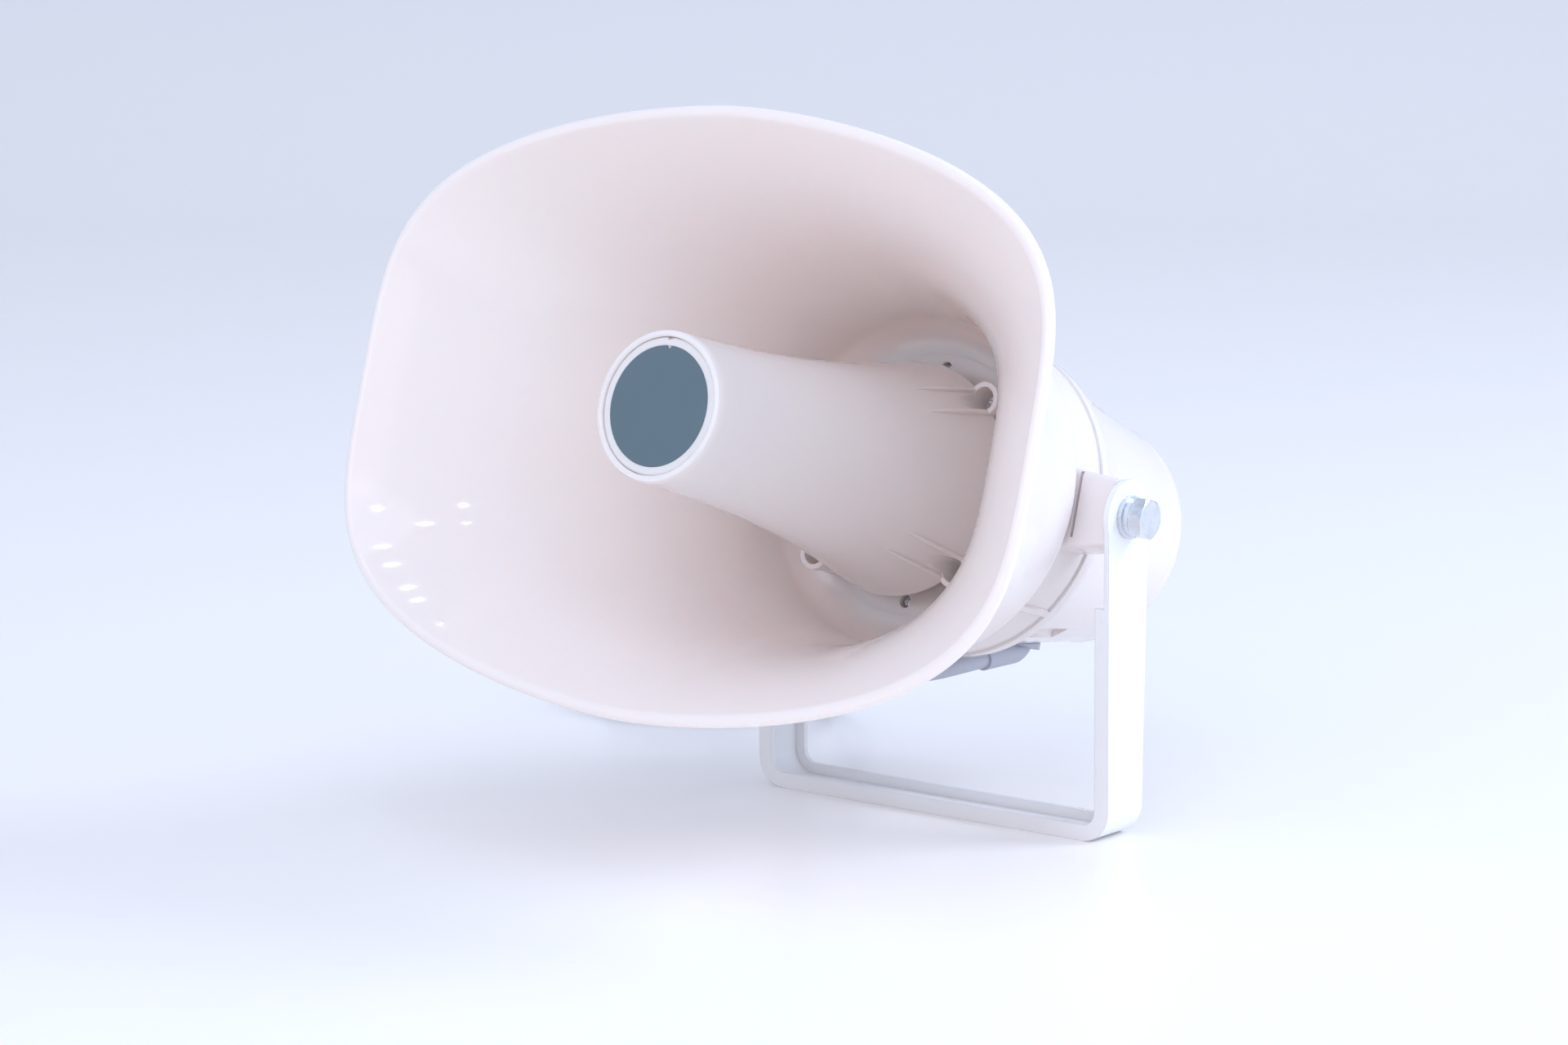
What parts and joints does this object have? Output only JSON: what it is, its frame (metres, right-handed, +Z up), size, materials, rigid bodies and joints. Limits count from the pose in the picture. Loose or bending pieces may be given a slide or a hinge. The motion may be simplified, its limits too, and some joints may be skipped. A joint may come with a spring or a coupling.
{
  "type": "public address horn speaker",
  "caption": "Folded re-entrant horn speaker with a wide oval mouth, round rear housing, tilting U bracket and a grey two-core lead.",
  "frame": {"origin": "centre of the bracket's base, on its underside, which stands on the floor", "axes": "+X along the tilt bolts, towards the left side seen from the front; the mouth faces -Y, tilted up 16.6 degrees; +Z up"},
  "size_m": [0.368, 0.3154, 0.2587],
  "materials": {
    "abs_shell": "moulded, glossy warm white",
    "abs_inner": "moulded, glossy warm white",
    "bracket_paint": "powder coated, cool white",
    "plated_steel": "bright zinc plate",
    "label": "blank satin disc, grey-blue",
    "rubber": "matte",
    "brass": "turned",
    "die_cast": "die cast",
    "black_plastic": "moulded",
    "phenolic": "laminate",
    "dome_foil": "thin drawn foil",
    "enamelled_wire": "enamelled copper wire",
    "ferrite": "pressed and sintered",
    "lamination": "stacked silicon steel sheets",
    "winding_tape": "varnished paper tape",
    "lead_jacket": "extruded grey sheath",
    "core_insulation": "extruded",
    "copper": "tinned copper strands"
  },
  "bodies": {
    "bracket": {"bracket": "bracket_paint", "lead": "lead_jacket", "lead_coil": "lead_jacket", "lead_tie": "rubber", "lead_cores": "core_insulation", "lead_strands": "copper"},
    "horn": {"horn_flare": "abs_shell", "throat_plate": "abs_inner", "reflex_bell": "abs_shell", "bell_screws": "plated_steel", "tip_cap": "abs_shell", "label_disc": "label", "throat_tube": "abs_inner", "plate_screws": "plated_steel", "mount_collar": "abs_shell", "lug_inserts": "brass", "tilt_bolts": "plated_steel", "spring_washers": "plated_steel", "flat_washers": "plated_steel", "rear_cover": "abs_shell", "cover_gasket": "rubber", "cover_screws": "plated_steel", "driver_gasket": "rubber", "driver_front": "die_cast", "phase_plug": "black_plastic", "diaphragm_edge": "phenolic", "driver_spacer": "brass", "top_plate": "plated_steel", "magnet": "ferrite", "back_plate": "plated_steel", "driver_screws": "plated_steel", "transformer_core": "lamination", "transformer_winding": "winding_tape", "transformer_strap": "plated_steel", "strap_screws": "plated_steel", "terminal_strip": "phenolic", "terminal_tabs": "brass", "strain_relief": "rubber"},
    "diaphragm": {"diaphragm_dome": "dome_foil", "voice_coil": "enamelled_wire"}
  },
  "joints": [
    {"name": "tilt", "type": "hinge", "parent": "bracket", "child": "horn", "pos_m": [0, 0, 0.114], "axis": [-1, 0, 0], "range_deg": [-55, 73.4], "deforming": ["lead"]},
    {"name": "diaphragm_travel", "type": "slide", "parent": "horn", "child": "diaphragm", "axis": [0, -0.9583, 0.2857], "range_m": [-0.0004, 0.0004], "stiffness_N_per_m": 500}
  ]
}
